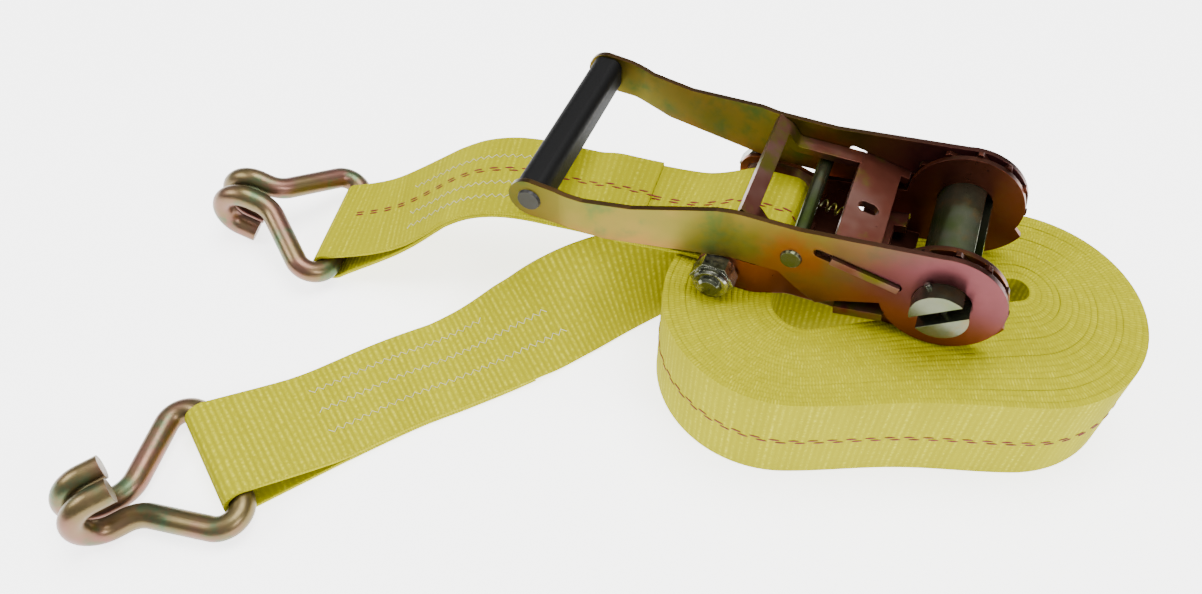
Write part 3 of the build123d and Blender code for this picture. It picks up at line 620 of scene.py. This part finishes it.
def threadGroup():
    group, start, end = newGroup("zigzagThread", (
        ("Pitch", "NodeSocketFloat", 0.0045), ("Swing", "NodeSocketFloat", 0.0016),
        ("Radius", "NodeSocketFloat", 0.0002), ("Material", "NodeSocketMaterial", None)))
    line = place(group, "GeometryNodeMeshToCurve", {"Mesh": start.outputs["Geometry"]})
    half = place(group, "ShaderNodeMath", {0: start.outputs["Pitch"], 1: 0.5}, operation="MULTIPLY")
    even = place(group, "GeometryNodeResampleCurve", {"Curve": line.outputs[0], "Length": half.outputs[0]},
                 mode="LENGTH")
    index = place(group, "GeometryNodeInputIndex")
    parity = place(group, "ShaderNodeMath", {0: index.outputs[0], 1: 2.0}, operation="MODULO")
    sign = place(group, "ShaderNodeMath", {0: parity.outputs[0], 1: 2.0, 2: -1.0}, operation="MULTIPLY_ADD")
    swing = place(group, "ShaderNodeMath", {0: sign.outputs[0], 1: start.outputs["Swing"]},
                  operation="MULTIPLY")
    across = place(group, "GeometryNodeInputNamedAttribute", {"Name": "across"}, data_type="FLOAT_VECTOR")
    shift = place(group, "ShaderNodeVectorMath", {0: across.outputs["Attribute"], "Scale": swing.outputs[0]},
                  operation="SCALE")
    moved = place(group, "GeometryNodeSetPosition", {"Geometry": even.outputs[0], "Offset": shift.outputs[0]})
    section = place(group, "GeometryNodeCurvePrimitiveCircle", {"Resolution": 6,
                                                                "Radius": start.outputs["Radius"]})
    tube = place(group, "GeometryNodeCurveToMesh", {"Curve": moved.outputs[0], "Fill Caps": True,
                                                    "Profile Curve": section.outputs["Curve"]})
    real = place(group, "GeometryNodeRealizeInstances", {"Geometry": tube.outputs[0]})
    coated = place(group, "GeometryNodeSetMaterial", {"Geometry": real.outputs[0],
                                                      "Material": start.outputs["Material"]})
    group.links.new(coated.outputs[0], end.inputs[0])
    return group


def grow(name, rails, group, values):
    points, edges, facings, acrosses = [], [], [], []
    for line in rails:
        first = len(points)
        for point, facing, across in line:
            points.append(point)
            facings += list(facing)
            acrosses += list(across)
        edges += [(first + i, first + i + 1) for i in range(len(line) - 1)]
    mesh = bpy.data.meshes.new(name + "Rails")
    mesh.from_pydata(points, edges, [])
    mesh.attributes.new("facing", "FLOAT_VECTOR", "POINT").data.foreach_set("vector", facings)
    mesh.attributes.new("across", "FLOAT_VECTOR", "POINT").data.foreach_set("vector", acrosses)
    helper = bpy.data.objects.new(name + "Rails", mesh)
    scene.collection.objects.link(helper)
    modifier = helper.modifiers.new("grow", "NODES")
    modifier.node_group = group
    keys = {item.name: item.identifier for item in group.interface.items_tree if item.in_out == "INPUT"}
    for label, value in values.items():
        modifier[keys[label]] = value
    bpy.context.view_layer.update()
    graph = bpy.context.evaluated_depsgraph_get()
    grown = bpy.data.meshes.new_from_object(helper.evaluated_get(graph))
    bpy.data.objects.remove(helper)
    grown.polygons.foreach_set("use_smooth", [True] * len(grown.polygons))
    piece = bpy.data.objects.new(name, grown)
    scene.collection.objects.link(piece)
    return piece


def rail(stations, side, across, clear, lead=0.0):
    result, runs = [], []
    for middle, acrossWay, normal, _, run, full in stations:
        facing = normal * side
        lift = stripLook["thickness"] / 2 * full + clear
        result.append((middle + acrossWay * across * mm + facing * lift * mm, facing, acrossWay))
        runs.append(run - stations[0][4] - lead * mm)
    first = next(i for i, run in enumerate(runs) if run >= 0)
    if first:
        share = runs[first] / (runs[first] - runs[first - 1])
        result[first - 1] = tuple(now.lerp(earlier, share)
                                  for now, earlier in zip(result[first], result[first - 1]))
        first -= 1
    return result[first:]


tracerLook = {"pitch": 8.0, "length": 4.8, "width": 1.0, "height": 0.6, "rowGap": 1.7, "clear": 0.06}
dashRow, zigzag = dashGroup(), threadGroup()
dashValues = {"Pitch": tracerLook["pitch"] * mm, "Length": tracerLook["length"] * mm,
              "Width": tracerLook["width"] * mm, "Height": tracerLook["height"] * mm,
              "Material": tracerThread}


def tracerRails(stations, side, middleAt):
    gap, clear = tracerLook["rowGap"] / 2, tracerLook["clear"]
    return [rail(stations, side, middleAt - gap, clear),
            rail(stations, side, middleAt + gap, clear, tracerLook["pitch"] / 2)]


outerFrom = coilCount - int(1.02 * steps)
longTracer = grow("longStrapTracer", tracerRails(longStations[outerFrom:coilCount + 34], -1, -1.5),
                  dashRow, dashValues)
shortRails = tracerRails(shortStations[:topCount + 8], 1, 3.0)
boltTop = bottomEnd + len(around) // 2 - 4
shortRails += tracerRails(shortStations[boltTop:bottomEnd + len(around) + cutIndex], 1, 3.0)
shortTracer = grow("shortStrapTracer", shortRails, dashRow, dashValues)

seamLook = {"pitch": 4.0, "swing": 1.1, "radius": 0.2, "rows": (-10.0, 2.5, 14.0),
            "starts": (0, 2, 16), "shortRows": (-15.0, -6.0, 12.0), "clear": 0.1}
sewn = longStations[coilCount + underFrom - 12:apexIndex]
seamRails = [rail(sewn[shift:], 1, offset, seamLook["clear"])
             for offset, shift in zip(seamLook["rows"], seamLook["starts"])]
threadValues = {"Pitch": seamLook["pitch"] * mm, "Swing": seamLook["swing"] * mm,
                "Radius": seamLook["radius"] * mm, "Material": seamThread}
longSeam = grow("longStrapSeam", seamRails, zigzag, threadValues)
shortSewn = shortStations[topCount - 34:topCount - 4]
shortSeamRails = [rail(shortSewn, 1, offset, seamLook["clear"]) for offset in seamLook["shortRows"]]
shortSeam = grow("shortStrapSeam", shortSeamRails, zigzag, threadValues)
print("threads sewn")

for piece, body in ((longStrap, "long_strap"), (longTracer, "long_strap"), (longSeam, "long_strap"),
                    (shortStrap, "short_strap"), (shortTracer, "short_strap"), (shortSeam, "short_strap")):
    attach(piece, body)
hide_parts("long_strap_coil", "long_strap_run", "long_strap_sewn_end", "long_strap_hook_loop")
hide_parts("short_strap_bolt_loop", "short_strap_run", "short_strap_hook_loop")

# the pawls' springs get meshes of their own
for springName, jointName in (("drive_pawl_spring", "drive_pawl_slide"),
                              ("lock_pawl_spring", "lock_pawl_slide")):
    spring = frame["nodes"][springName]
    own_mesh(spring)

# floor and soft studio light
stageLook = {"floor": (0.93, 0.93, 0.93), "glow": 3.0, "low": (0.22, 0.22, 0.23), "high": (1.0, 1.0, 1.0),
             "worldPower": 0.8}
bpy.ops.mesh.primitive_plane_add(size=8)
floor = bpy.context.object
floor.name = "floor"
paper = bpy.data.materials.new("paper")
paper.use_nodes = True
paperShader = paper.node_tree.nodes["Principled BSDF"]
for key, value in (("Base Color", (*stageLook["floor"], 1)), ("Roughness", 0.95), ("Specular IOR Level", 0.1),
                   ("Emission Color", (1, 1, 1, 1)), ("Emission Strength", stageLook["glow"])):
    paperShader.inputs[key].default_value = value
floor.data.materials.append(paper)
world = bpy.data.worlds.new("studio")
scene.world = world
world.use_nodes = True
sky = Wire(world.node_tree, world.node_tree.nodes.new("ShaderNodeTexCoord").outputs["Generated"])
_, _, skyHeight = split(sky, sky)
background = world.node_tree.nodes["Background"]
sky.plug(background.inputs["Color"], skyHeight.ramp(0.05, 0.8).blend(stageLook["low"], stageLook["high"]))
background.inputs["Strength"].default_value = stageLook["worldPower"]
lampRows = {"key": ((0.15, 0.35, 1.7), 1.2, 42.0), "fill": ((-1.2, -0.5, 1.2), 0.8, 20.0),
            "side": ((1.2, -0.4, 0.9), 0.5, 12.0)}
for lampName, (where, size, power) in lampRows.items():
    lamp = bpy.data.lights.new(lampName, "AREA")
    lamp.shape = "DISK"
    lamp.size = size
    lamp.energy = power
    lampObject = bpy.data.objects.new(lampName, lamp)
    scene.collection.objects.link(lampObject)
    lampObject.location = where
    lampObject.rotation_euler = (Vector(where) * -1).to_track_quat("-Z", "Y").to_euler()
print("stage lit")
